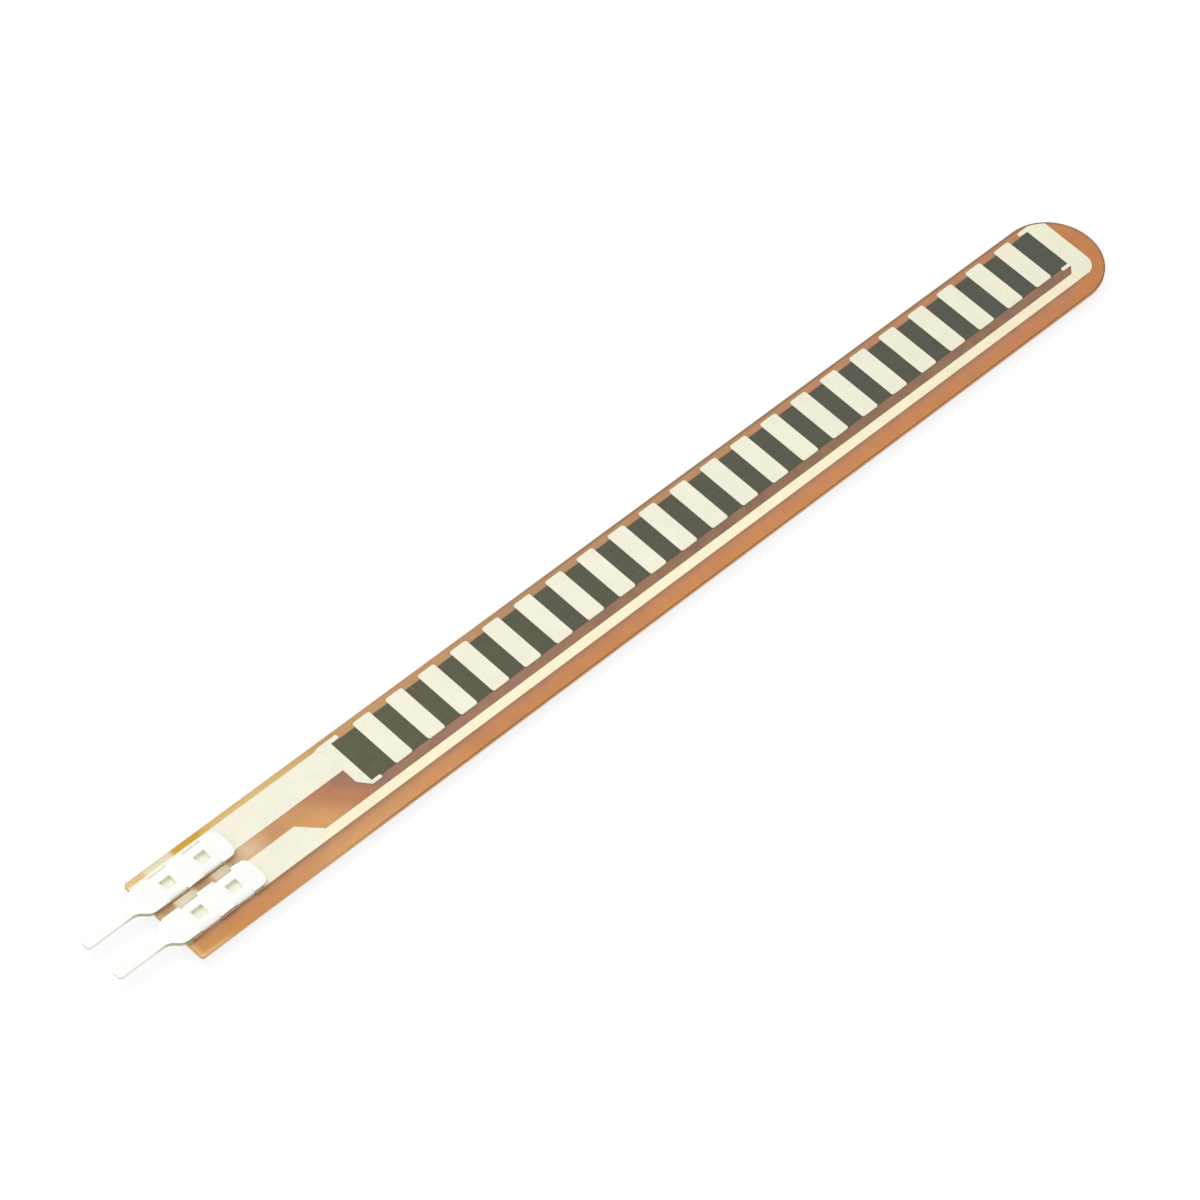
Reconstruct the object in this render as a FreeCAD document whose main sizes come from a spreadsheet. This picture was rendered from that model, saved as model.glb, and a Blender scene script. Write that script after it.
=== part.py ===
import FreeCAD, Part
import math
import os
from types import SimpleNamespace

import Sketcher

# Printed flex sensor: an amber polyimide film, a carbon strip, silver ink printed over it, and two stamped
# crimp terminals whose claws go through the film. The film lies along X with its square end, the terminals
# and the pins towards -X and its round tip towards +X. The printed side looks up.
# The origin is under the middle of the whole length, on the film's centreline, where the claws rest.

# Driving dimensions in millimetres. Places along the film are measured from its square end, and places
# across it from its centreline.
DIMENSIONS = {
    # film, with slightly rounded corners at its square end
    "film_length": 73.66,
    "film_width": 6.35,
    "film_thickness": 0.2,
    "film_corner": 0.2,
    # ink layers
    "carbon_thickness": 0.03,
    "silver_thickness": 0.03,
    # carbon strip: what it leaves free at the film's upper edge and up to the return trace, and how far it
    # runs in under the two brackets
    "carbon_margin": 0.615,
    "carbon_gap": 0.66,
    "carbon_under_start": 0.2,
    "carbon_under_end": 0.95,
    # silver pads printed across the strip
    "pad_count": 22,
    "pad_length": 1.28,
    "pad_over_low": 0.05,
    "pad_over_high": 0.255,
    "pad_corner": 0.15,
    "first_gap": 1.78,
    "last_gap": 1.46,
    # start bracket, where the feed trace grips the strip
    "start_bar_place": 14.02,
    "start_bar_width": 0.71,
    "start_bevel_width": 0.6,
    "start_bevel_height": 0.71,
    "start_slope_length": 0.35,
    # end bracket, where the return trace grips the strip
    "end_margin": 1.27,
    "end_bar_width": 1.27,
    "end_corner": 0.9,
    "end_inner_bevel": 0.4,
    "tip_ink_margin": 0.15,
    # both brackets: fingers along the strip's sides, and how far they stand past it
    "finger_length": 0.62,
    "finger_low_width": 0.23,
    "finger_high_width": 0.275,
    "finger_over_low": 0.2,
    "finger_over_high": 0.315,
    "finger_corner": 0.08,
    # silver under the terminals, and the trace that runs back from the tip. The return land stands a little
    # past the blade's outer edge
    "feed_land_inner": 0.7,
    "feed_land_margin": 0.395,
    "return_land_inner": 0.85,
    "return_land_outer": 0.01,
    "return_land_length": 9.45,
    "return_trace_width": 0.61,
    # crimp terminals, stamped from one sheet, and the film left free above the upper one
    "sheet_thickness": 0.25,
    "terminal_pitch": 2.54,
    "terminal_margin": 0.625,
    "blade_width": 1.98,
    "blade_length": 6.0,
    "blade_out": 0.2,
    "blade_corner": 0.5,
    "shoulder_length": 0.62,
    "shoulder_fillet": 0.8,
    "pin_width": 0.76,
    "pin_reach": 4.25,
    "pin_bevel": 0.14,
    # claws, the gap between the tips of a pair, and the windows between them
    "window_length": 0.8,
    "window_width": 0.7,
    "window_place": 1.77,
    "window_pitch": 2.49,
    "claw_width": 1.3,
    "claw_point_width": 0.6,
    "claw_bend": 0.05,
    "claw_tip_gap": 0.3,
    "claw_clearance": 0.02,
    "slot_clearance": 0.04,
}
SHEET_NAME = "dims"
COUNTS = ("pad_count",)
SAME_PLACE = 1e-4


class Size:
    """A number together with the sheet formula that gives it; a free number has no formula."""

    def __init__(self, number, formula=None):
        self.number = number
        self.formula = formula

    def __add__(self, other):
        other = as_size(other)
        return Size(self.number + other.number, f"({self.formula} + {other.formula})")

    def __sub__(self, other):
        other = as_size(other)
        return Size(self.number - other.number, f"({self.formula} - {other.formula})")

    def __mul__(self, other):
        other = as_size(other)
        return Size(self.number * other.number, f"({self.formula} * {other.formula})")

    def __truediv__(self, other):
        other = as_size(other)
        return Size(self.number / other.number, f"({self.formula} / {other.formula})")

    def __neg__(self):
        return Size(-self.number, f"(-{self.formula})")


def as_size(value):
    """Take a Size as it is, and write a plain number out as its own formula."""
    if isinstance(value, Size):
        return value
    return Size(value, repr(value))


# Document and spreadsheet

doc = FreeCAD.newDocument("flex_sensor")
sheet = doc.addObject("Spreadsheet::Sheet", SHEET_NAME)
for row, (alias, number) in enumerate(DIMENSIONS.items(), start=1):
    sheet.set(f"A{row}", alias)
    sheet.set(f"B{row}", str(number))
    sheet.setAlias(f"B{row}", alias)
doc.recompute()

d = SimpleNamespace(
    **{
        alias: Size(number, f"{SHEET_NAME}.{alias}")
        for alias, number in DIMENSIONS.items()
        if alias not in COUNTS
    }
)
pad_count = DIMENSIONS["pad_count"]
ZERO = Size(0.0, "0")


# Places worked out from the driving dimensions

film_half = d.film_width / 2
tip_centre = d.film_length - film_half

blade_half = d.blade_width / 2
pin_half = d.pin_width / 2
feed_centre = film_half - d.terminal_margin - blade_half
return_centre = feed_centre - d.terminal_pitch
feed_land_low = feed_centre - d.feed_land_inner
feed_land_high = film_half - d.feed_land_margin
return_land_low = return_centre - blade_half - d.return_land_outer
return_land_high = return_centre + d.return_land_inner
return_trace_high = return_land_low + d.return_trace_width
land_slope = return_land_high - return_trace_high

carbon_low = return_trace_high + d.carbon_gap
carbon_high = film_half - d.carbon_margin
ink_over_carbon = d.carbon_thickness + d.silver_thickness

start_bar_inner = d.start_bar_place + d.start_bar_width
end_bar_outer = d.film_length - d.end_margin
end_bar_inner = end_bar_outer - d.end_bar_width
carbon_start = start_bar_inner - d.carbon_under_start
carbon_end = end_bar_inner + d.carbon_under_end

pad_low = carbon_low - d.pad_over_low
pad_high = carbon_high + d.pad_over_high
first_pad = start_bar_inner + d.first_gap + d.pad_length / 2
last_pad = end_bar_inner - d.last_gap - d.pad_length / 2
pad_pitch = (last_pad - first_pad) / (pad_count - 1)

bracket_low = carbon_low - d.finger_over_low
bracket_high = carbon_high + d.finger_over_high
finger_low_edge = bracket_low + d.finger_low_width
finger_high_edge = bracket_high - d.finger_high_width

bend_outer = d.claw_bend + d.sheet_thickness
claw_tip = d.claw_tip_gap / 2
curl_radius = (blade_half - claw_tip) / 2
pierced = d.film_thickness + d.silver_thickness
film_back_height = curl_radius + d.claw_clearance
film_top_height = film_back_height + d.film_thickness
blade_height = film_top_height + d.silver_thickness
square_end = (d.pin_reach - d.film_length) / 2


# Helpers for bodies, sketches and features


def make_body(name, along, across, height):
    """Start a body that stands at a place given by the sheet."""
    body = doc.addObject("PartDesign::Body", name)
    body.Label = name
    for axis, place in (("x", along), ("y", across), ("z", height)):
        body.setExpression(f"Placement.Base.{axis}", place.formula)
    return body


def make_sketch(body, name, plane, offset=ZERO):
    """Start a sketch on one of the body's own origin planes, moved along the plane's normal."""
    sketch = body.newObject("Sketcher::SketchObject", name)
    origin_plane = next(item for item in body.Origin.OriginFeatures if item.Role == plane)
    sketch.AttachmentSupport = (origin_plane, [""])
    sketch.MapMode = "FlatFace"
    sketch.setExpression("AttachmentOffset.Base.z", offset.formula)
    return sketch


def tie_point(sketch, geometry, point, place):
    """Tie a point of the sketch to its two coordinates, leaving out a coordinate that is free."""
    for kind, size in zip(("DistanceX", "DistanceY"), place):
        if size.formula is not None:
            constraint = Sketcher.Constraint(kind, -1, 1, geometry, point, size.number)
            index = sketch.addConstraint(constraint)
            sketch.setExpression(f"Constraints[{index}]", size.formula)


def vector(place):
    return FreeCAD.Vector(place[0].number, place[1].number, 0)


def to(x, y):
    """A straight run to a point."""
    return SimpleNamespace(end=(x, y), centre=None)


def arc_to(x, y, centre, clockwise=False, radius=None):
    """An arc to a point about a centre. One coordinate of the point is free, and the arc finds it."""
    return SimpleNamespace(end=(x, y), centre=centre, clockwise=clockwise, radius=radius)


def free(size):
    """A coordinate that starts at a number and that the rest of the sketch settles."""
    return Size(size.number)


def draw_outline(sketch, runs):
    """Draw a closed outline of straight runs and arcs. The last run ends where the first one starts."""
    start = runs[-1].end
    joints = []
    for run in runs:
        if run.centre is None:
            geometry = sketch.addGeometry(Part.LineSegment(vector(start), vector(run.end)))
            first, last = 1, 2
        else:
            centre = vector(run.centre)
            begin, finish = vector(start) - centre, vector(run.end) - centre
            if run.clockwise:
                begin, finish = finish, begin
            circle = Part.Circle(centre, FreeCAD.Vector(0, 0, 1), begin.Length)
            angles = [math.atan2(side.y, side.x) for side in (begin, finish)]
            geometry = sketch.addGeometry(Part.ArcOfCircle(circle, *angles))
            first, last = (2, 1) if run.clockwise else (1, 2)
        joints.append((geometry, first, last))
        start = run.end
    for (before, _, last), (after, first, _) in zip(joints[-1:] + joints[:-1], joints):
        sketch.addConstraint(Sketcher.Constraint("Coincident", before, last, after, first))
    for run, (geometry, _, last) in zip(runs, joints):
        tie_point(sketch, geometry, last, run.end)
        if run.centre is not None:
            tie_point(sketch, geometry, 3, run.centre)
            if run.radius is not None:
                index = sketch.addConstraint(Sketcher.Constraint("Radius", geometry, run.radius.number))
                sketch.setExpression(f"Constraints[{index}]", run.radius.formula)


def draw_polygon(sketch, points):
    draw_outline(sketch, [to(x, y) for x, y in points])


def draw_rectangle(sketch, low_x, low_y, high_x, high_y):
    draw_polygon(sketch, [(low_x, low_y), (high_x, low_y), (high_x, high_y), (low_x, high_y)])


def add_pad(body, name, sketch, length, both_ways=False):
    """Raise a sketch along its normal, or by half the length to each side of it."""
    feature = body.newObject("PartDesign::Pad", name)
    feature.Profile = sketch
    feature.Midplane = both_ways
    feature.setExpression("Length", length.formula)
    doc.recompute()
    return feature


def add_pocket(body, name, sketch, depth=None):
    """Cut a sketch down against its normal, by a depth or through everything below it."""
    before = body.Shape.Volume
    feature = body.newObject("PartDesign::Pocket", name)
    feature.Profile = sketch
    if depth is None:
        feature.Type = "ThroughAll"
    else:
        feature.setExpression("Length", depth.formula)
    doc.recompute()
    if not body.Shape.Volume < before:
        raise RuntimeError(f"{name} cuts nothing")
    return feature


def add_fillet(body, name, base, places, radius):
    """Round the upright edges of a feature that stand at the given places in plan."""
    spots = [vector(place) for place in places]
    chosen = []
    for number, edge in enumerate(base.Shape.Edges, start=1):
        ends = [vertex.Point for vertex in edge.Vertexes]
        upright = len(ends) == 2 and math.hypot(ends[0].x - ends[1].x, ends[0].y - ends[1].y) < SAME_PLACE
        if upright and any(math.hypot(ends[0].x - s.x, ends[0].y - s.y) < SAME_PLACE for s in spots):
            chosen.append(f"Edge{number}")
    feature = body.newObject("PartDesign::Fillet", name)
    feature.Base = (base, chosen)
    feature.setExpression("Radius", radius.formula)
    doc.recompute()
    return feature


# Shapes that several pieces share


def draw_carbon(sketch):
    """The carbon strip's outline, which the silver printed over it also leaves free."""
    draw_rectangle(sketch, carbon_start, carbon_low, carbon_end, carbon_high)


def draw_slots(sketch, terminal_centre):
    """The four slots that one terminal's claws pass through."""
    half_length = d.claw_width / 2 + d.slot_clearance
    nearest = blade_half - bend_outer - d.slot_clearance
    farthest = blade_half + d.slot_clearance
    for along in (d.window_place, d.window_place + d.window_pitch):
        low_x, high_x = along - half_length, along + half_length
        draw_rectangle(sketch, low_x, terminal_centre + nearest, high_x, terminal_centre + farthest)
        draw_rectangle(sketch, low_x, terminal_centre - farthest, high_x, terminal_centre - nearest)


# Film


def make_film():
    body = make_body("base_film", square_end, ZERO, film_back_height)
    outline = make_sketch(body, "film_outline", "XY_Plane")
    draw_outline(
        outline,
        [
            to(ZERO, -film_half),
            to(tip_centre, -film_half),
            arc_to(tip_centre, free(film_half), centre=(tip_centre, ZERO)),
            to(ZERO, film_half),
        ],
    )
    block = add_pad(body, "film_sheet", outline, d.film_thickness)
    add_fillet(body, "film_corners", block, [(ZERO, -film_half), (ZERO, film_half)], d.film_corner)
    slots = make_sketch(body, "slot_outlines", "XY_Plane", d.film_thickness)
    draw_slots(slots, feed_centre)
    draw_slots(slots, return_centre)
    add_pocket(body, "claw_slots", slots)
    return body


# Carbon strip and the silver pads across it


def make_carbon():
    body = make_body("resistive_strip", square_end, ZERO, film_top_height)
    outline = make_sketch(body, "carbon_outline", "XY_Plane")
    draw_carbon(outline)
    add_pad(body, "carbon_layer", outline, d.carbon_thickness)
    return body


def make_silver_pad(number):
    """One pad, draped over the strip so that its two ends lie on the film."""
    place = square_end + first_pad + pad_pitch * (number - 1)
    body = make_body(f"silver_pad_{number:02d}", place, ZERO, film_top_height)
    half = d.pad_length / 2
    outline = make_sketch(body, f"pad_outline_{number:02d}", "XY_Plane")
    draw_rectangle(outline, -half, pad_low, half, pad_high)
    block = add_pad(body, f"pad_block_{number:02d}", outline, ink_over_carbon)
    corners = [(x, y) for x in (-half, half) for y in (pad_low, pad_high)]
    add_fillet(body, f"pad_corners_{number:02d}", block, corners, d.pad_corner)
    strip = make_sketch(body, f"pad_strip_{number:02d}", "XY_Plane", d.carbon_thickness)
    draw_rectangle(strip, -d.pad_length, carbon_low, d.pad_length, carbon_high)
    add_pocket(body, f"pad_drape_{number:02d}", strip, d.carbon_thickness)
    return body


# Silver traces, each with the bracket that grips one end of the strip


def finger_corners(finger_end):
    """The places in plan where a bracket's two fingers end, which the print rounds."""
    return [(finger_end, y) for y in (bracket_low, finger_low_edge, finger_high_edge, bracket_high)]


def make_feed_trace():
    body = make_body("feed_trace", square_end, ZERO, film_top_height)
    bar_middle = d.start_bar_place + d.start_bar_width / 2
    land = make_sketch(body, "feed_land_outline", "XY_Plane")
    draw_rectangle(land, ZERO, feed_land_low, bar_middle, feed_land_high)
    add_pad(body, "feed_land", land, d.silver_thickness)

    slots = make_sketch(body, "feed_slot_outlines", "XY_Plane", d.silver_thickness)
    draw_slots(slots, feed_centre)
    add_pocket(body, "feed_slots", slots)

    finger_end = start_bar_inner + d.finger_length
    bevel_end = d.start_bar_place + d.start_bevel_width
    bracket = make_sketch(body, "start_bracket_outline", "XY_Plane")
    draw_polygon(
        bracket,
        [
            (bevel_end, bracket_low),
            (finger_end, bracket_low),
            (finger_end, finger_low_edge),
            (start_bar_inner, finger_low_edge),
            (start_bar_inner, finger_high_edge),
            (finger_end, finger_high_edge),
            (finger_end, bracket_high),
            (d.start_bar_place, bracket_high),
            (d.start_bar_place - d.start_slope_length, feed_land_high),
            (d.start_bar_place, feed_land_high - d.start_slope_length),
            (d.start_bar_place, bracket_low + d.start_bevel_height),
        ],
    )
    block = add_pad(body, "start_bracket", bracket, ink_over_carbon)
    add_fillet(body, "start_finger_corners", block, finger_corners(finger_end), d.finger_corner)

    strip = make_sketch(body, "feed_strip", "XY_Plane", d.carbon_thickness)
    draw_carbon(strip)
    add_pocket(body, "feed_drape", strip, d.carbon_thickness)
    return body


def make_return_trace():
    body = make_body("return_trace", square_end, ZERO, film_top_height)
    bar_middle = end_bar_inner + d.end_bar_width / 2
    run = make_sketch(body, "return_run_outline", "XY_Plane")
    draw_polygon(
        run,
        [
            (ZERO, return_land_low),
            (bar_middle, return_land_low),
            (bar_middle, return_trace_high),
            (d.return_land_length + land_slope, return_trace_high),
            (d.return_land_length, return_land_high),
            (ZERO, return_land_high),
        ],
    )
    add_pad(body, "return_run", run, d.silver_thickness)

    slots = make_sketch(body, "return_slot_outlines", "XY_Plane", d.silver_thickness)
    draw_slots(slots, return_centre)
    add_pocket(body, "return_slots", slots)

    # the bracket's outer top corner follows the round tip, at an even margin from the film's edge
    ink_radius = film_half - d.tip_ink_margin
    reach_x = end_bar_outer.number - tip_centre.number
    corner_y = Size(math.sqrt(ink_radius.number**2 - reach_x**2))
    corner_x = Size(tip_centre.number + math.sqrt(ink_radius.number**2 - bracket_high.number**2))
    finger_end = end_bar_inner - d.finger_length
    bracket = make_sketch(body, "end_bracket_outline", "XY_Plane")
    draw_outline(
        bracket,
        [
            to(end_bar_outer - d.end_corner, return_land_low),
            arc_to(
                free(end_bar_outer),
                return_land_low + d.end_corner,
                centre=(end_bar_outer - d.end_corner, return_land_low + d.end_corner),
            ),
            to(end_bar_outer, corner_y),
            arc_to(corner_x, bracket_high, centre=(tip_centre, ZERO), radius=ink_radius),
            to(finger_end, bracket_high),
            to(finger_end, finger_high_edge),
            to(end_bar_inner, finger_high_edge),
            to(end_bar_inner, finger_low_edge),
            to(finger_end, finger_low_edge),
            to(finger_end, bracket_low),
            to(end_bar_inner, bracket_low),
            to(end_bar_inner, return_trace_high + d.end_inner_bevel),
            to(end_bar_inner - d.end_inner_bevel, return_trace_high),
            to(end_bar_inner - d.end_inner_bevel, return_land_low),
        ],
    )
    block = add_pad(body, "end_bracket", bracket, ink_over_carbon)
    add_fillet(body, "end_finger_corners", block, finger_corners(finger_end), d.finger_corner)

    strip = make_sketch(body, "return_strip", "XY_Plane", d.carbon_thickness)
    draw_carbon(strip)
    add_pocket(body, "return_drape", strip, d.carbon_thickness)
    return body


# Crimp terminals


def draw_blade(sketch):
    """The stamped blank in plan: the pin, its shoulders and the blade that lies on the film."""
    shoulder = -d.blade_out - d.shoulder_length
    half = [
        (-d.pin_reach, pin_half - d.pin_bevel),
        (d.pin_bevel - d.pin_reach, pin_half),
        (shoulder, pin_half),
        (-d.blade_out, blade_half),
        (d.blade_length, blade_half),
    ]
    other_half = [(x, -y) for x, y in reversed(half)]
    draw_polygon(sketch, half + other_half)
    shoulder_corners = half[2:4] + other_half[1:3]
    end_corners = half[4:] + other_half[:1]
    return shoulder_corners, end_corners


def draw_claw(sketch, side):
    """The section of one claw: bent down at the blade's edge, through the film and curled in under it."""
    outer = blade_half
    inner = blade_half - d.sheet_thickness
    bend_start = blade_half - bend_outer
    curl_across = blade_half - curl_radius
    curl_height = -(pierced + d.claw_clearance)
    clockwise = side > 0

    def across(place):
        return place if side > 0 else -place

    draw_outline(
        sketch,
        [
            to(across(bend_start), d.sheet_thickness),
            arc_to(
                free(across(outer)),
                -d.claw_bend,
                centre=(across(bend_start), -d.claw_bend),
                clockwise=clockwise,
            ),
            to(across(outer), curl_height),
            arc_to(
                free(across(claw_tip)),
                curl_height,
                centre=(across(curl_across), curl_height),
                clockwise=clockwise,
            ),
            to(across(claw_tip + d.sheet_thickness), curl_height),
            arc_to(
                free(across(inner)),
                curl_height,
                centre=(across(curl_across), curl_height),
                clockwise=not clockwise,
            ),
            to(across(inner), -d.claw_bend),
            arc_to(
                across(bend_start),
                free(ZERO),
                centre=(across(bend_start), -d.claw_bend),
                clockwise=not clockwise,
            ),
        ],
    )


def draw_claw_points(sketch):
    """The corners that are cut off a pair of claws, so that each one narrows towards its tip."""
    straight = blade_half - d.sheet_thickness
    past_tip = claw_tip / 2
    for end in (1, -1):
        wide = d.window_place + d.claw_width / 2 * end
        narrow = d.window_place + d.claw_point_width / 2 * end
        past_side = wide + d.slot_clearance * end
        for side in (1, -1):
            draw_polygon(
                sketch,
                [
                    (wide, straight * side),
                    (narrow, claw_tip * side),
                    (narrow, past_tip * side),
                    (past_side, past_tip * side),
                    (past_side, straight * side),
                ],
            )


def make_terminal(name, centre):
    body = make_body(name, square_end, centre, blade_height)
    blank = make_sketch(body, f"{name}_blank", "XY_Plane")
    shoulder_corners, end_corners = draw_blade(blank)
    blade = add_pad(body, f"{name}_blade", blank, d.sheet_thickness)
    shoulders = add_fillet(body, f"{name}_shoulders", blade, shoulder_corners, d.shoulder_fillet)
    add_fillet(body, f"{name}_corners", shoulders, end_corners, d.blade_corner)

    # a window is punched between two claws, and the blade's edge is open where the bend of a claw fills it
    openings = make_sketch(body, f"{name}_opening_outlines", "XY_Plane", d.sheet_thickness)
    bend_start = blade_half - bend_outer
    for along in (d.window_place, d.window_place + d.window_pitch):
        low_x, high_x = along - d.window_length / 2, along + d.window_length / 2
        draw_rectangle(openings, low_x, -d.window_width / 2, high_x, d.window_width / 2)
        low_x, high_x = along - d.claw_width / 2, along + d.claw_width / 2
        draw_rectangle(openings, low_x, bend_start, high_x, d.blade_width)
        draw_rectangle(openings, low_x, -d.blade_width, high_x, -bend_start)
    add_pocket(body, f"{name}_openings", openings)

    section = make_sketch(body, f"{name}_claw_section", "YZ_Plane", d.window_place)
    draw_claw(section, 1)
    draw_claw(section, -1)
    claws = add_pad(body, f"{name}_claws", section, d.claw_width, both_ways=True)
    points = make_sketch(body, f"{name}_claw_point_outlines", "XY_Plane", -pierced)
    draw_claw_points(points)
    tapers = add_pocket(body, f"{name}_claw_points", points)

    pattern = body.newObject("PartDesign::LinearPattern", f"{name}_claw_pairs")
    pattern.Originals = [claws, tapers]
    pattern.Direction = (blank, ["H_Axis"])
    pattern.setExpression("Length", d.window_pitch.formula)
    pattern.Occurrences = 2
    body.Tip = pattern
    doc.recompute()
    return body


# Build, check and write

bodies = [make_film(), make_carbon()]
bodies += [make_silver_pad(number) for number in range(1, pad_count + 1)]
bodies += [make_feed_trace(), make_return_trace()]
bodies += [make_terminal("feed_terminal", feed_centre), make_terminal("return_terminal", return_centre)]
doc.recompute()

for item in doc.Objects:
    if {"Invalid", "Error"} & set(item.State):
        raise RuntimeError(f"{item.Label} did not build: {item.State}")
for body in bodies:
    if body.Shape.isNull() or not body.Shape.isValid() or len(body.Shape.Solids) != 1:
        raise RuntimeError(f"{body.Label} is not one valid solid")

os.makedirs("parts", exist_ok=True)
for body in bodies:
    body.Shape.exportStep(f"parts/{body.Label}.step")
    print(f"{body.Label}: {body.Shape.Volume:.4f} mm3")
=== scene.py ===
import math

import bpy
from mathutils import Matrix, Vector


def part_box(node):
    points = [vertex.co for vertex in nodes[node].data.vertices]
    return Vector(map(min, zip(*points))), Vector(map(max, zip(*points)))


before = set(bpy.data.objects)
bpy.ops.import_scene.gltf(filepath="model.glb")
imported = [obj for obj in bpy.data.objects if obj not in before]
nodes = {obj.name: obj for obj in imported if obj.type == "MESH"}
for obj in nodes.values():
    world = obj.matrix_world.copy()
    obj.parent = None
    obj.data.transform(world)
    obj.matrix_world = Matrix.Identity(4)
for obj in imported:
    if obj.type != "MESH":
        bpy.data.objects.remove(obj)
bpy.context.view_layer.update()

# Objects are in metres, in the part's own frame. Sizes, places and patterns here are in millimetres.
MM = 0.001


def box_mm(name):
    low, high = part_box(name)
    return low / MM, high / MM


# Places that the frame gives. The film lies along x, its middle line is at y 0 and its tip is a half circle.

film_low, film_high = box_mm("base_film")
strip_low, strip_high = box_mm("resistive_strip")
feed_low, feed_high = box_mm("feed_trace")
return_low, return_high = box_mm("return_trace")
upper_blade_low, upper_blade_high = box_mm("feed_terminal")
lower_blade_low, lower_blade_high = box_mm("return_terminal")

pads = sorted(name for name in nodes if name.startswith("silver_pad_"))
first_pad_low, first_pad_high = box_mm(pads[0])
second_pad_low = box_mm(pads[1])[0]
last_pad_high = box_mm(pads[-1])[1]

film_half = film_high.y
tip_centre = film_high.x - film_half
pad_pitch = second_pad_low.x - first_pad_low.x
pad_length = first_pad_high.x - first_pad_low.x

# Sizes from the part's drawing that no box gives

TRACE_WIDTH = 0.61
RETURN_LAND_LENGTH = 9.45
RETURN_LAND_WIDTH = 1.85
FEED_LAND_WIDTH = 1.92
START_BAR_PLACE = 14.02
START_BAR_WIDTH = 0.71
END_BAR_WIDTH = 1.27
CLAW_PLACES = (1.77, 4.26)
CLAW_HALF_WIDTH = 0.65

# From the middle of a blade's window to just past its edge
WINDOW_REACH = 0.6

trace_middle = return_low.y + TRACE_WIDTH / 2
return_land_end = film_low.x + RETURN_LAND_LENGTH
start_bar = film_low.x + START_BAR_PLACE
end_bar = return_high.x - END_BAR_WIDTH
first_claw, second_claw = (film_low.x + place for place in CLAW_PLACES)


def linear(share):
    """One channel of a screen colour, 0 to 1, as linear light."""
    return share / 12.92 if share <= 0.04045 else ((share + 0.055) / 1.055) ** 2.4


def tone(red, green, blue):
    """A screen colour, 0 to 255, as the linear colour that a shader takes."""
    return tuple(linear(part / 255) for part in (red, green, blue)) + (1.0,)


def grey(level):
    return (level, level, level, 1.0)


# Tones of the film

AMBER = tone(209, 138, 75)
AMBER_LIGHT = tone(221, 164, 104)
AMBER_RED = tone(198, 124, 71)
AMBER_CLEAR = tone(255, 206, 140)
ROSE = tone(192, 128, 112)
HONEY = tone(217, 153, 74)
HONEY_PALE = tone(253, 219, 158)
CLAY = tone(213, 157, 106)
# Painted shade on the film beside the carbon strip, mauve and then umber towards the tip
MAUVE_SHADE = tone(152, 112, 97)
UMBER_SHADE = tone(135, 100, 83)
RUSSET = tone(190, 126, 90)
TAUPE = tone(204, 163, 122)
BLUSH = tone(234, 206, 173)
GOLD = tone(222, 170, 32)
STRAW = tone(234, 201, 130)
SAND = tone(204, 160, 108)
DRAB = tone(186, 142, 103)
TAN = tone(190, 141, 100)
STRAINED = tone(248, 245, 218)
# Painted shade on the film below the return trace, and a darker painted shadow line beside the return land
SHADED = tone(152, 112, 88)
LAND_SHADOW_LINE = tone(150, 98, 54)
RIM_BELOW = tone(120, 70, 30)
RIM_ABOVE = tone(128, 110, 78)
# Painted light on the film's cut sides, as if lit through the film
LIT_CUT_EDGE = tone(226, 172, 110)
CARBON_BEHIND = tone(98, 62, 40)
SILVER_BEHIND = tone(206, 150, 92)

# Tones of the print: the carbon from the pins to the tip, the silver near the pins and near the tip

CARBON_NEAR = tone(93, 92, 66)
CARBON_MIDDLE = tone(86, 86, 69)
CARBON_FAR = tone(79, 82, 72)
# Painted light: the silver seen through the blades' windows, brightened against their shade
SILVER_LIT_IN_WINDOWS = tone(249, 247, 227)
SILVER_NEAR = tone(243, 240, 219)
SILVER_FAR = tone(238, 236, 212)
TRACE_NEAR = tone(251, 242, 209)
TRACE_FAR = tone(244, 232, 202)

# Tones of the tin plate: its face, its sheared edges, with painted shade at the shoulders and painted light
# in the windows, and painted shade on the claws' feet

TIN = tone(248, 248, 244)
SHEARED_PIN = tone(233, 235, 220)
# Painted shade on the sheared edges at the shoulders
SHEARED_NECK_SHADE = tone(176, 176, 148)
SHEARED_BLADE = tone(222, 223, 204)
# Painted light on the windows' walls, against their shade
SHEARED_WINDOW_LIT = tone(253, 254, 242)
# Painted shade on the claws' feet between the blades
CLAW_FOOT_SHADE = tone(190, 183, 142)

# Most values of a noise pattern lie between the first two, evenly about the third

NOISE_LOW = 0.3
NOISE_HIGH = 0.7
NOISE_MIDDLE = 0.5

# Half the width over which a field turns into the next, where the turn looks sharp

SHARP = 0.05


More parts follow.
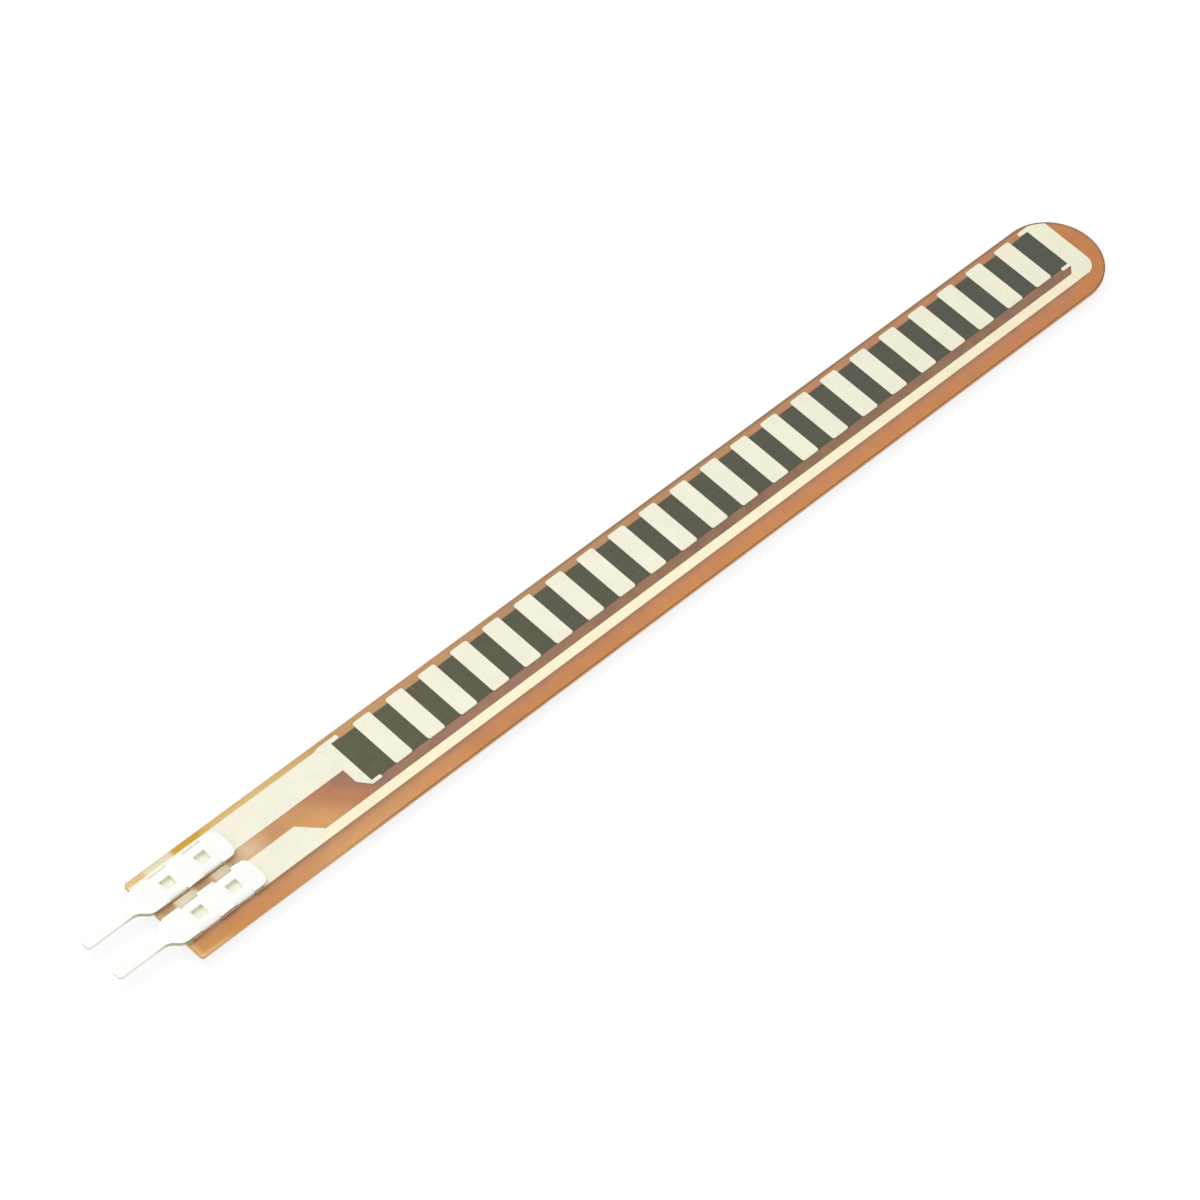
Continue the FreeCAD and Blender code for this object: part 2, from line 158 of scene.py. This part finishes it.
class Graph:
    """A node tree, with short calls for the nodes that the materials and the surround share."""

    def __init__(self, tree):
        self.tree = tree
        self.tree.nodes.clear()

    def fill(self, socket, value):
        if isinstance(value, bpy.types.NodeSocket):
            self.tree.links.new(value, socket)
        else:
            socket.default_value = value

    def node(self, kind, inputs=None, **settings):
        node = self.tree.nodes.new(kind)
        for setting, value in settings.items():
            setattr(node, setting, value)
        for socket, value in (inputs or {}).items():
            self.fill(node.inputs[socket], value)
        return node

    def scaled(self, vector, amount):
        return self.node("ShaderNodeVectorMath", {0: vector, "Scale": amount}, operation="SCALE").outputs[0]

    def stretched(self, vector, amounts):
        return self.node("ShaderNodeVectorMath", {0: vector, 1: amounts}, operation="MULTIPLY").outputs[0]

    def math(self, operation, first, second=0.0):
        return self.node("ShaderNodeMath", {0: first, 1: second}, operation=operation).outputs[0]

    def times(self, *values):
        product = values[0]
        for value in values[1:]:
            product = self.math("MULTIPLY", product, value)
        return product

    def most(self, *values):
        """The largest of the values at each point."""
        largest = values[0]
        for value in values[1:]:
            largest = self.math("MAXIMUM", largest, value)
        return largest

    def outside(self, share):
        """One where the share is zero, and zero where it is one."""
        return self.math("SUBTRACT", 1.0, share)

    def step(self, value, start, end, low, high):
        """Turns smoothly from low to high while the value goes from start to end."""
        inputs = {"Value": value, "From Min": start, "From Max": end, "To Min": low, "To Max": high}
        return self.node("ShaderNodeMapRange", inputs, interpolation_type="SMOOTHSTEP").outputs[0]

    def rise(self, value, start, end, top=1.0):
        """Zero before start and top after end, smooth between them."""
        return self.step(value, start, end, 0.0, top)

    def fall(self, value, start, end, top=1.0):
        """Top before start and zero after end, smooth between them."""
        return self.step(value, start, end, top, 0.0)

    def band(self, value, start, end, soft):
        """One between start and end and zero outside, with soft sides."""
        rising = self.rise(value, start - soft, start + soft)
        falling = self.fall(value, end - soft, end + soft)
        return self.times(rising, falling)

    def mix(self, factor, first, second):
        """The first colour where the factor is zero, the second where it is one."""
        mixer = self.node("ShaderNodeMix", data_type="RGBA")
        # A mixer has sockets for several kinds of value: these three are the factor and both colours.
        self.fill(mixer.inputs[0], factor)
        self.fill(mixer.inputs[6], first)
        self.fill(mixer.inputs[7], second)
        return mixer.outputs[2]

    def ramp(self, value, stops):
        """Colours along a value: pairs of the value and the colour there."""
        start, end = stops[0][0], stops[-1][0]
        inputs = {"Value": value, "From Min": start, "From Max": end}
        share = self.node("ShaderNodeMapRange", inputs).outputs[0]
        ramp = self.node("ShaderNodeValToRGB", {0: share})
        elements = ramp.color_ramp.elements
        # A ramp starts with two colours. The others go between them before each gets its place.
        while len(elements) < len(stops):
            elements.new(0.5)
        for element, (place, colour) in zip(elements, stops):
            element.position = (place - start) / (end - start)
            element.color = colour
        return ramp.outputs[0]


class MaterialGraph(Graph):
    """A material's node tree. It knows each point's place in millimetres and which way its face looks."""

    def __init__(self, name):
        self.material = bpy.data.materials.new(name)
        self.material.use_nodes = True
        super().__init__(self.material.node_tree)
        coordinates = self.node("ShaderNodeTexCoord")
        self.place = self.scaled(coordinates.outputs["Object"], 1 / MM)
        self.x, self.y, self.z = self.node("ShaderNodeSeparateXYZ", {0: self.place}).outputs
        geometry = self.node("ShaderNodeNewGeometry")
        normal = self.node("ShaderNodeSeparateXYZ", {0: geometry.outputs["True Normal"]})
        self.normal_x, self.normal_y, self.normal_z = normal.outputs

    def noise(self, scale, detail=2.0, roughness=0.5, stretch=None):
        place = self.stretched(self.place, stretch) if stretch else self.place
        inputs = {"Vector": place, "Scale": scale, "Detail": detail, "Roughness": roughness}
        return self.node("ShaderNodeTexNoise", inputs).outputs["Fac"]

    def varied(self, scale, low, high, **settings):
        """A soft variation between low and high."""
        return self.step(self.noise(scale, **settings), NOISE_LOW, NOISE_HIGH, low, high)

    def region(self, low_x, high_x, low_y, high_y):
        """One inside a rectangle in plan and zero outside, with slightly soft sides."""
        return self.times(self.band(self.x, low_x, high_x, SHARP), self.band(self.y, low_y, high_y, SHARP))

    def bump(self, height, distance):
        return self.node("ShaderNodeBump", {"Height": height, "Distance": distance * MM}).outputs[0]

    def principled(self, inputs):
        return self.node("ShaderNodeBsdfPrincipled", inputs).outputs[0]

    def finish(self, surface):
        self.node("ShaderNodeOutputMaterial", {"Surface": surface})
        return self.material


# Film: translucent amber. It differs in tone between the prints, with painted shade beside the carbon strip
# and below the return trace, is strained and pale at the claws and golden along its upper margin. In what
# follows, along is the distance from its square end.

# How far the lower margin's tones wander to and fro along the film
WANDER = 9.0

# How much further on the borders beside the start bracket lie for each millimetre down
BORDER_SLANT = 0.8

# How strong the dark line along the film's outline is, and what is left of it near the pins
RIM_STRENGTH = 0.85
RIM_NEAR_PINS = 0.15

# How strongly the print shows through to the back
SILVER_THROUGH = 0.8
CARBON_THROUGH = 0.85

# How much light goes straight through the film, and how much the finest ripple adds to the broad one
CLEAR_SHARE = 0.16
FINE_RIPPLE = 0.03


def lower_margin(graph, along):
    """The film below the return trace: honey, then amber, with tints that grow towards the trace: rose,
    painted shade beside the trace and a painted shadow line beside the return land.
    """
    stops = (
        (0, HONEY),
        (4, AMBER),
        (10.5, AMBER_LIGHT),
        (14, AMBER_LIGHT),
        (22, AMBER),
        (48, AMBER),
        (72, AMBER_RED),
    )
    colour = graph.ramp(along, stops)
    before_tip = graph.fall(graph.x, tip_centre - 0.5, tip_centre + 0.5)
    by_land = graph.fall(graph.x, return_land_end - 1, return_land_end)
    # Where each tint is, its tone, how far below the trace it starts and is full, and its share there
    tints = (
        (before_tip, ROSE, 1.0, 0.2, 0.4),
        (before_tip, SHADED, 0.4, 0.0, 0.65),
        (by_land, LAND_SHADOW_LINE, 0.22, 0.08, 0.5),
    )
    for where, tint, start, full, share in tints:
        growing = graph.rise(graph.y, return_low.y - start, return_low.y - full, share)
        colour = graph.mix(graph.times(growing, where), colour, tint)
    return colour


def inner_field(graph, along):
    """The film between the traces: taupe between the blades, then clay, and mauve beside the strip, a painted
    shade that darkens to umber towards the tip.
    """
    upper_side = graph.ramp(along, ((0, TAUPE), (5, TAUPE), (6.5, BLUSH), (8.2, CLAY), (10.5, CLAY)))
    shade_by_strip = graph.ramp(along, ((14, MAUVE_SHADE), (24, MAUVE_SHADE), (40, UMBER_SHADE), (72, UMBER_SHADE)))
    slanted = graph.math("ADD", graph.x, graph.times(graph.y, BORDER_SLANT))
    russet_start = start_bar - 3.6
    mauve_start = start_bar - 1.4
    mauve_full = start_bar + 0.6
    colour = graph.mix(graph.fall(graph.y, -0.4, 0.2), upper_side, AMBER_LIGHT)
    colour = graph.mix(graph.rise(slanted, russet_start, mauve_start), colour, RUSSET)
    return graph.mix(graph.rise(slanted, mauve_start, mauve_full), colour, shade_by_strip)


def upper_margin(graph, along):
    """The narrow film above the feed trace and the strip: straw, golden by the second claws, then sand."""
    stops = (
        (0, HONEY_PALE),
        (2, STRAW),
        (10, STRAW),
        (15, SAND),
        (29, DRAB),
        (38, TAN),
        (72, RUSSET),
    )
    colour = graph.ramp(along, stops)
    golden = graph.band(graph.x, second_claw - 0.85, second_claw + 1.15, soft=0.2)
    past_claw = graph.rise(graph.x, second_claw, second_claw + 0.2)
    fading = graph.fall(graph.x, second_claw + 1.0, second_claw + 2.6, 0.5)
    return graph.mix(graph.most(golden, graph.times(fading, past_claw)), colour, GOLD)


def strain(graph):
    """Where the claws go through: both patches between the blades, the first one above them too."""
    between = graph.band(graph.y, lower_blade_high.y - 0.3, upper_blade_low.y + 0.3, soft=0.1)
    above = graph.rise(graph.y, upper_blade_high.y - 0.3, upper_blade_high.y)
    # Each patch's claw, its reach before and after that claw, its softness, its row and its strength
    patches = (
        (first_claw, 0.55, 0.95, 0.18, between, 0.84),
        (second_claw, 0.35, 0.85, 0.18, between, 0.69),
        (first_claw, 0.5, 1.45, 0.22, above, 1.0),
    )
    shares = []
    for claw, before, after, soft, row, strength in patches:
        beside_claw = graph.band(graph.x, claw - before, claw + after, soft)
        shares.append(graph.times(beside_claw, row, strength))
    return graph.most(*shares)


def film_fields(graph, along):
    """The film's tone, field by field, with painted shade beside the strip and below the trace. The fields
    meet under the print, which hides their borders.
    """
    off_middle = graph.math("SUBTRACT", graph.noise(scale=0.35, detail=3.0), NOISE_MIDDLE)
    wandering = graph.math("ADD", along, graph.times(off_middle, WANDER))
    above_trace = graph.rise(graph.y, trace_middle - 0.1, trace_middle + 0.1)
    above_strip = graph.rise(graph.y, strip_high.y - 0.3, strip_high.y - 0.1)
    before_end = graph.fall(graph.x, return_high.x - 0.5, return_high.x - 0.3)
    colour = lower_margin(graph, wandering)
    colour = graph.mix(graph.times(above_trace, before_end), colour, inner_field(graph, along))
    return graph.mix(graph.times(above_strip, before_end), colour, upper_margin(graph, along))


def mottled(graph, colour):
    """A colour with cloudy mottle and faint streaks along the film."""
    mottle = graph.varied(scale=0.8, low=0.965, high=1.03, detail=4.0)
    streaks = graph.varied(scale=1.0, low=0.98, high=1.02, stretch=(0.25, 5.0, 1.0), detail=3.0)
    return graph.scaled(colour, graph.times(mottle, streaks))


def from_outline(graph):
    """How far a point lies inside the film's outline, with its round tip."""
    past_centre = graph.math("MAXIMUM", graph.math("SUBTRACT", graph.x, tip_centre), 0.0)
    squares = graph.math("ADD", graph.times(past_centre, past_centre), graph.times(graph.y, graph.y))
    return graph.math("SUBTRACT", film_half, graph.math("SQRT", squares))


def painted_light_at_end(graph, along, inside, colour):
    """The film's square end, pale at its cut and along the first of both its sides: a painted highlight."""
    by_side = graph.fall(inside, 0.02, 0.3, 0.6)
    near_end = graph.fall(along, 1.0, 3.0)
    colour = graph.mix(graph.times(by_side, near_end), colour, HONEY_PALE)
    return graph.mix(graph.fall(along, 0.0, 0.5, 0.5), colour, HONEY_PALE)


def rimmed(graph, along, inside, colour):
    """The film with its dark edge line: thin and brown below, wider and greyer above, weak near the pins."""
    above = graph.rise(graph.y, -1.0, 1.0)
    # Each line's side and tone, how far in its core and its fade reach, and where it starts and is full
    lines = (
        (graph.outside(above), RIM_BELOW, 0.04, 0.13, 8.0, 16.0),
        (above, RIM_ABOVE, 0.06, 0.24, 24.0, 38.0),
    )
    for side, rim, core, fade, start, full in lines:
        line = graph.fall(inside, core, fade, RIM_STRENGTH)
        growing = graph.step(along, start, full, RIM_NEAR_PINS, 1.0)
        colour = graph.mix(graph.times(line, growing, side), colour, rim)
    return colour


def silver_behind(graph):
    """Where silver lies straight on the film: lands, traces, the bars of both brackets and the pads' ends."""
    feed_land_low = feed_high.y - FEED_LAND_WIDTH
    return_land_high = return_low.y + RETURN_LAND_WIDTH
    trace_high = return_low.y + TRACE_WIDTH
    prints = [
        graph.region(film_low.x, start_bar, feed_land_low, feed_high.y),
        graph.region(start_bar, start_bar + START_BAR_WIDTH, feed_low.y, feed_high.y),
        graph.region(film_low.x, return_land_end, return_low.y, return_land_high),
        graph.region(film_low.x, end_bar, return_low.y, trace_high),
        graph.region(end_bar, return_high.x, return_low.y, return_high.y),
    ]
    pitches = graph.math("DIVIDE", graph.math("SUBTRACT", graph.x, first_pad_low.x), pad_pitch)
    pad_share = pad_length / pad_pitch
    pad = graph.band(graph.math("FRACT", pitches), 0.0, pad_share, SHARP / pad_pitch)
    row = graph.region(
        first_pad_low.x - 2 * SHARP, last_pad_high.x + 2 * SHARP, first_pad_low.y, first_pad_high.y
    )
    return graph.most(graph.times(pad, row), *prints)


def seen_from_behind(graph, colour):
    """On the back, silver that lies on the film shows through light and the carbon strip dark."""
    behind = graph.fall(graph.normal_z, -0.9, -0.6)
    strip = graph.region(strip_low.x, strip_high.x, strip_low.y, strip_high.y)
    silver = graph.times(silver_behind(graph), graph.outside(strip))
    colour = graph.mix(graph.times(silver, behind, SILVER_THROUGH), colour, SILVER_BEHIND)
    return graph.mix(graph.times(strip, behind, CARBON_THROUGH), colour, CARBON_BEHIND)


def film_material():
    graph = MaterialGraph("amber_film")
    along = graph.math("SUBTRACT", graph.x, film_low.x)
    inside = from_outline(graph)
    colour = film_fields(graph, along)
    colour = graph.mix(graph.varied(scale=1.1, low=0.0, high=0.14, detail=4.0), colour, GOLD)
    uneven = graph.varied(scale=1.5, low=0.8, high=1.0)
    colour = graph.mix(graph.times(strain(graph), uneven), colour, STRAINED)
    colour = mottled(graph, colour)
    colour = painted_light_at_end(graph, along, inside, colour)
    colour = rimmed(graph, along, inside, colour)
    # The cut sides take a painted light, as if lit through the film
    lit_side = graph.fall(graph.math("ABSOLUTE", graph.normal_z), 0.3, 0.6)
    colour = graph.mix(lit_side, colour, LIT_CUT_EDGE)
    colour = seen_from_behind(graph, colour)

    fine = graph.times(graph.noise(scale=8.0), FINE_RIPPLE)
    ripple = graph.math("ADD", graph.noise(scale=0.5, detail=1.0), fine)
    surface = graph.principled(
        {
            "Base Color": colour,
            "Roughness": graph.varied(scale=2.5, low=0.28, high=0.36, detail=3.0),
            "IOR": 1.5,
            "Coat Weight": 0.2,
            "Coat Roughness": 0.12,
            "Normal": graph.bump(ripple, distance=0.03),
        }
    )
    clear = graph.node("ShaderNodeBsdfTransparent", {"Color": AMBER_CLEAR}).outputs[0]
    shader = graph.node("ShaderNodeMixShader", {0: CLEAR_SHARE, 1: surface, 2: clear}).outputs[0]
    return graph.finish(shader)


# Carbon: dull dark grey with an olive cast, a fine grain and faint lines along the stroke of the print


def carbon_material():
    graph = MaterialGraph("carbon_ink")
    along = graph.math("SUBTRACT", graph.x, film_low.x)
    colour = graph.ramp(along, ((14, CARBON_NEAR), (28, CARBON_MIDDLE), (72, CARBON_FAR)))
    grain = graph.varied(scale=13.0, low=0.86, high=1.12, detail=3.0, roughness=0.6)
    stroke = graph.varied(scale=1.0, low=0.95, high=1.05, stretch=(0.6, 7.0, 1.0), detail=3.0)
    relief = graph.noise(scale=20.0, detail=3.0, roughness=0.6)
    surface = graph.principled(
        {
            "Base Color": graph.scaled(colour, graph.times(grain, stroke)),
            "Roughness": graph.varied(scale=4.0, low=0.6, high=0.75),
            "Specular IOR Level": 0.3,
            "Normal": graph.bump(relief, distance=0.006),
        }
    )
    return graph.finish(surface)


# Silver ink: matt ivory with a fine grain and faint cloudiness


def pad_tone(graph):
    """Ivory, brighter where the blades cover it, a painted light against the shade in their windows, and a
    little darker towards the tip.
    """
    stops = (
        (second_claw + WINDOW_REACH, SILVER_LIT_IN_WINDOWS),
        (second_claw + 2 * WINDOW_REACH, SILVER_NEAR),
        (0, SILVER_NEAR),
        (film_high.x, SILVER_FAR),
    )
    return graph.ramp(graph.x, stops)


def return_tone(graph):
    """As the pads on the land and on the end bar, and warmer on the narrow trace between them."""
    trace = graph.ramp(graph.x, ((film_low.x, TRACE_NEAR), (12, TRACE_NEAR), (film_high.x, TRACE_FAR)))
    slope_end = return_land_end + RETURN_LAND_WIDTH - TRACE_WIDTH
    after_land = graph.rise(graph.x, slope_end - 1.0, slope_end)
    before_bar = graph.fall(graph.x, end_bar - 1.0, end_bar + 0.3)
    return graph.mix(graph.times(after_land, before_bar), pad_tone(graph), trace)


def silver_material(name, tone_of):
    graph = MaterialGraph(name)
    grain = graph.varied(scale=11.0, low=0.96, high=1.02, detail=3.0, roughness=0.6)
    cloud = graph.varied(scale=0.8, low=0.975, high=1.015, detail=3.0)
    relief = graph.noise(scale=16.0, detail=3.0, roughness=0.6)
    surface = graph.principled(
        {
            "Base Color": graph.scaled(tone_of(graph), graph.times(grain, cloud)),
            "Metallic": 0.15,
            "Roughness": graph.varied(scale=3.0, low=0.45, high=0.58),
            "Specular IOR Level": 0.4,
            "Normal": graph.bump(relief, distance=0.007),
        }
    )
    return graph.finish(surface)


# Terminals: bright satin tin, duller and greener where the sheet was sheared, with painted shade at the
# shoulders and on the claws' feet between the blades, and painted light in the windows


def facing(graph, normal):
    """One on faces that look along an axis, either way, and zero on faces that lie along it."""
    return graph.rise(graph.math("ABSOLUTE", normal), 0.4, 0.7)


def sheared(graph):
    """The sheet's cut edges: they face along x anywhere, and along y on the blade, away from its claws."""
    over_film = graph.rise(graph.z, film_high.z, film_high.z + 0.04)
    claws = [
        graph.band(graph.x, claw - CLAW_HALF_WIDTH, claw + CLAW_HALF_WIDTH, soft=0.02)
        for claw in (first_claw, second_claw)
    ]
    blade_sides = graph.times(facing(graph, graph.normal_y), over_film, graph.outside(graph.most(*claws)))
    return graph.most(facing(graph, graph.normal_x), blade_sides)


def in_windows(graph):
    """The stretch of both blades that holds their windows."""
    first, last = first_claw - WINDOW_REACH, second_claw + WINDOW_REACH
    blades = (lower_blade_low, lower_blade_high), (upper_blade_low, upper_blade_high)
    middles = [(low.y + high.y) / 2 for low, high in blades]
    rows = [graph.band(graph.y, middle - WINDOW_REACH, middle + WINDOW_REACH, SHARP) for middle in middles]
    return graph.times(graph.most(*rows), graph.band(graph.x, first, last, SHARP))


def sheared_tone(graph):
    """Pale on the pins, darkest at the shoulders with painted shade, in between on the blades and bright
    inside the windows with painted light.
    """
    neck = film_low.x
    stops = (
        (neck - 2, SHEARED_PIN),
        (neck - 0.7, SHEARED_NECK_SHADE),
        (neck, SHEARED_NECK_SHADE),
        (neck + 0.6, SHEARED_BLADE),
    )
    return graph.mix(in_windows(graph), graph.ramp(graph.x, stops), SHEARED_WINDOW_LIT)


def shade_between_blades(graph):
    """The feet of the claws between the two blades, where they go down into the film: painted shade."""
    lower_side = graph.fall(graph.normal_y, -0.5, -0.15)
    low = graph.fall(graph.z, film_high.z + 0.12, film_high.z + 0.26)
    gap = graph.band(graph.y, lower_blade_high.y + 0.1, upper_blade_low.y + 0.35, SHARP)
    over_film = graph.rise(graph.z, film_high.z - 0.04, film_high.z)
    return graph.times(lower_side, low, gap, over_film)


def tin_material():
    graph = MaterialGraph("tin_plate")
    drawn = graph.varied(scale=1.0, low=0.975, high=1.0, stretch=(0.8, 9.0, 9.0), detail=3.0)
    # Painted shade on the claws' feet between the blades
    tin_with_shade = graph.mix(shade_between_blades(graph), graph.scaled(TIN[:3], drawn), CLAW_FOOT_SHADE)
    surface = graph.principled(
        {
            "Base Color": graph.mix(sheared(graph), tin_with_shade, sheared_tone(graph)),
            "Metallic": 0.75,
            "Roughness": graph.varied(scale=3.0, low=0.3, high=0.38, detail=3.0),
            "Normal": graph.bump(graph.noise(scale=4.0), distance=0.004),
        }
    )
    return graph.finish(surface)


# Dressing the nodes: a material each, and edges rounded by a little. Points of a mesh within the join's
# reach become one first, because faces that only touch don't round. Edges that turn by less than the
# angle stay as they are.

FILM_ROUND = 0.02
CARBON_ROUND = 0.006
SILVER_ROUND = 0.008
TIN_ROUND = 0.03
ROUND_SEGMENTS = 2
ROUND_FROM_ANGLE = math.radians(40)
JOIN_REACH = 0.001
LARGE_FACE_WEIGHT = 100


def dress(name, material, radius):
    """Give a node its material, smooth shading and a small round on its edges to catch the light."""
    piece = nodes[name]
    piece.data.materials.clear()
    piece.data.materials.append(material)
    for polygon in piece.data.polygons:
        polygon.use_smooth = True
    joined = piece.modifiers.new("joined_faces", "WELD")
    joined.merge_threshold = JOIN_REACH * MM
    rounding = piece.modifiers.new("edges", "BEVEL")
    rounding.width = radius * MM
    rounding.segments = ROUND_SEGMENTS
    rounding.limit_method = "ANGLE"
    rounding.angle_limit = ROUND_FROM_ANGLE
    shading = piece.modifiers.new("flat_faces_stay_flat", "WEIGHTED_NORMAL")
    shading.weight = LARGE_FACE_WEIGHT


pad_silver = silver_material("pad_silver", pad_tone)
return_silver = silver_material("return_silver", return_tone)
tin = tin_material()

dress("base_film", film_material(), FILM_ROUND)
dress("resistive_strip", carbon_material(), CARBON_ROUND)
dress("feed_trace", pad_silver, SILVER_ROUND)
dress("return_trace", return_silver, SILVER_ROUND)
dress("feed_terminal", tin, TIN_ROUND)
dress("return_terminal", tin, TIN_ROUND)
for pad in pads:
    dress(pad, pad_silver, SILVER_ROUND)


def in_scene(name, data):
    """A new object of the scene that holds the data."""
    thing = bpy.data.objects.new(name, data)
    bpy.context.scene.collection.objects.link(thing)
    return thing


def seen_rays(graph):
    """One where a point is seen, also in a reflection or through something, and zero where it gives light."""
    path = graph.node("ShaderNodeLightPath").outputs
    return graph.most(path["Is Camera Ray"], path["Is Glossy Ray"], path["Is Transmission Ray"])


# Stage, in metres: white paper under the claws. What is seen of it is mostly a plain white glow, with a
# faint shadow.

FLOOR_HALF = 1.5
PAPER_WHITE = 0.8
SEEN_PAPER = 0.22
SEEN_GLOW = 0.81


def floor_material():
    graph = MaterialGraph("white_floor")
    paper = graph.node("ShaderNodeBsdfDiffuse", {"Color": grey(PAPER_WHITE)}).outputs[0]
    shade = graph.node("ShaderNodeBsdfDiffuse", {"Color": grey(SEEN_PAPER)}).outputs[0]
    glow = graph.node("ShaderNodeEmission", {"Strength": SEEN_GLOW}).outputs[0]
    seen = graph.node("ShaderNodeAddShader", {0: shade, 1: glow}).outputs[0]
    shader = graph.node("ShaderNodeMixShader", {0: seen_rays(graph), 1: paper, 2: seen}).outputs[0]
    return graph.finish(shader)


def make_floor():
    corners = [(x * FLOOR_HALF, y * FLOOR_HALF, 0) for x, y in ((-1, -1), (1, -1), (1, 1), (-1, 1))]
    mesh = bpy.data.meshes.new("floor")
    mesh.from_pydata(corners, [], [(0, 1, 2, 3)])
    mesh.materials.append(floor_material())
    in_scene("floor", mesh)


# Light, in metres and watts: an even white surround and a soft lamp high behind the film's upper side

AMBIENT = 0.8
SEEN_SURROUND = 1.0
LAMP_PLACE = Vector((-0.12, 0.34, 0.46))
LAMP_SIZE = 0.3
LAMP_POWER = 0.9


def make_world():
    world = bpy.data.worlds.new("surround")
    bpy.context.scene.world = world
    world.use_nodes = True
    graph = Graph(world.node_tree)
    strength = graph.step(seen_rays(graph), 0.0, 1.0, AMBIENT, SEEN_SURROUND)
    surround = graph.node("ShaderNodeBackground", {"Color": grey(1.0), "Strength": strength}).outputs[0]
    graph.node("ShaderNodeOutputWorld", {"Surface": surround})


def make_lamp():
    lamp = bpy.data.lights.new("key_lamp", "AREA")
    lamp.shape = "DISK"
    lamp.size = LAMP_SIZE
    lamp.energy = LAMP_POWER
    holder = in_scene("key_lamp", lamp)
    holder.location = LAMP_PLACE
    holder.rotation_euler = (-LAMP_PLACE).to_track_quat("-Z", "Y").to_euler()


# Camera: the photograph's viewpoint, solved from the even row of pads, the film's sides and its round tip.
# Its turn is in degrees about x, y and z. The lens and sensor are in millimetres, the clipping in metres.

CAMERA_PLACE = Vector((-159.72, -133.06, 269.18))
CAMERA_TURN = (37.3515, -4.0968, -44.5508)
CAMERA_LENS = 181.07
SENSOR_WIDTH = 36.0
CLIP_START = 0.01
CLIP_END = 10.0


def make_camera():
    camera = bpy.data.cameras.new("camera")
    camera.lens = CAMERA_LENS
    camera.sensor_width = SENSOR_WIDTH
    camera.clip_start = CLIP_START
    camera.clip_end = CLIP_END
    holder = in_scene("camera", camera)
    holder.location = CAMERA_PLACE * MM
    holder.rotation_euler = [math.radians(angle) for angle in CAMERA_TURN]
    bpy.context.scene.camera = holder


make_floor()
make_world()
make_lamp()
make_camera()
bpy.context.scene.view_settings.view_transform = "Standard"
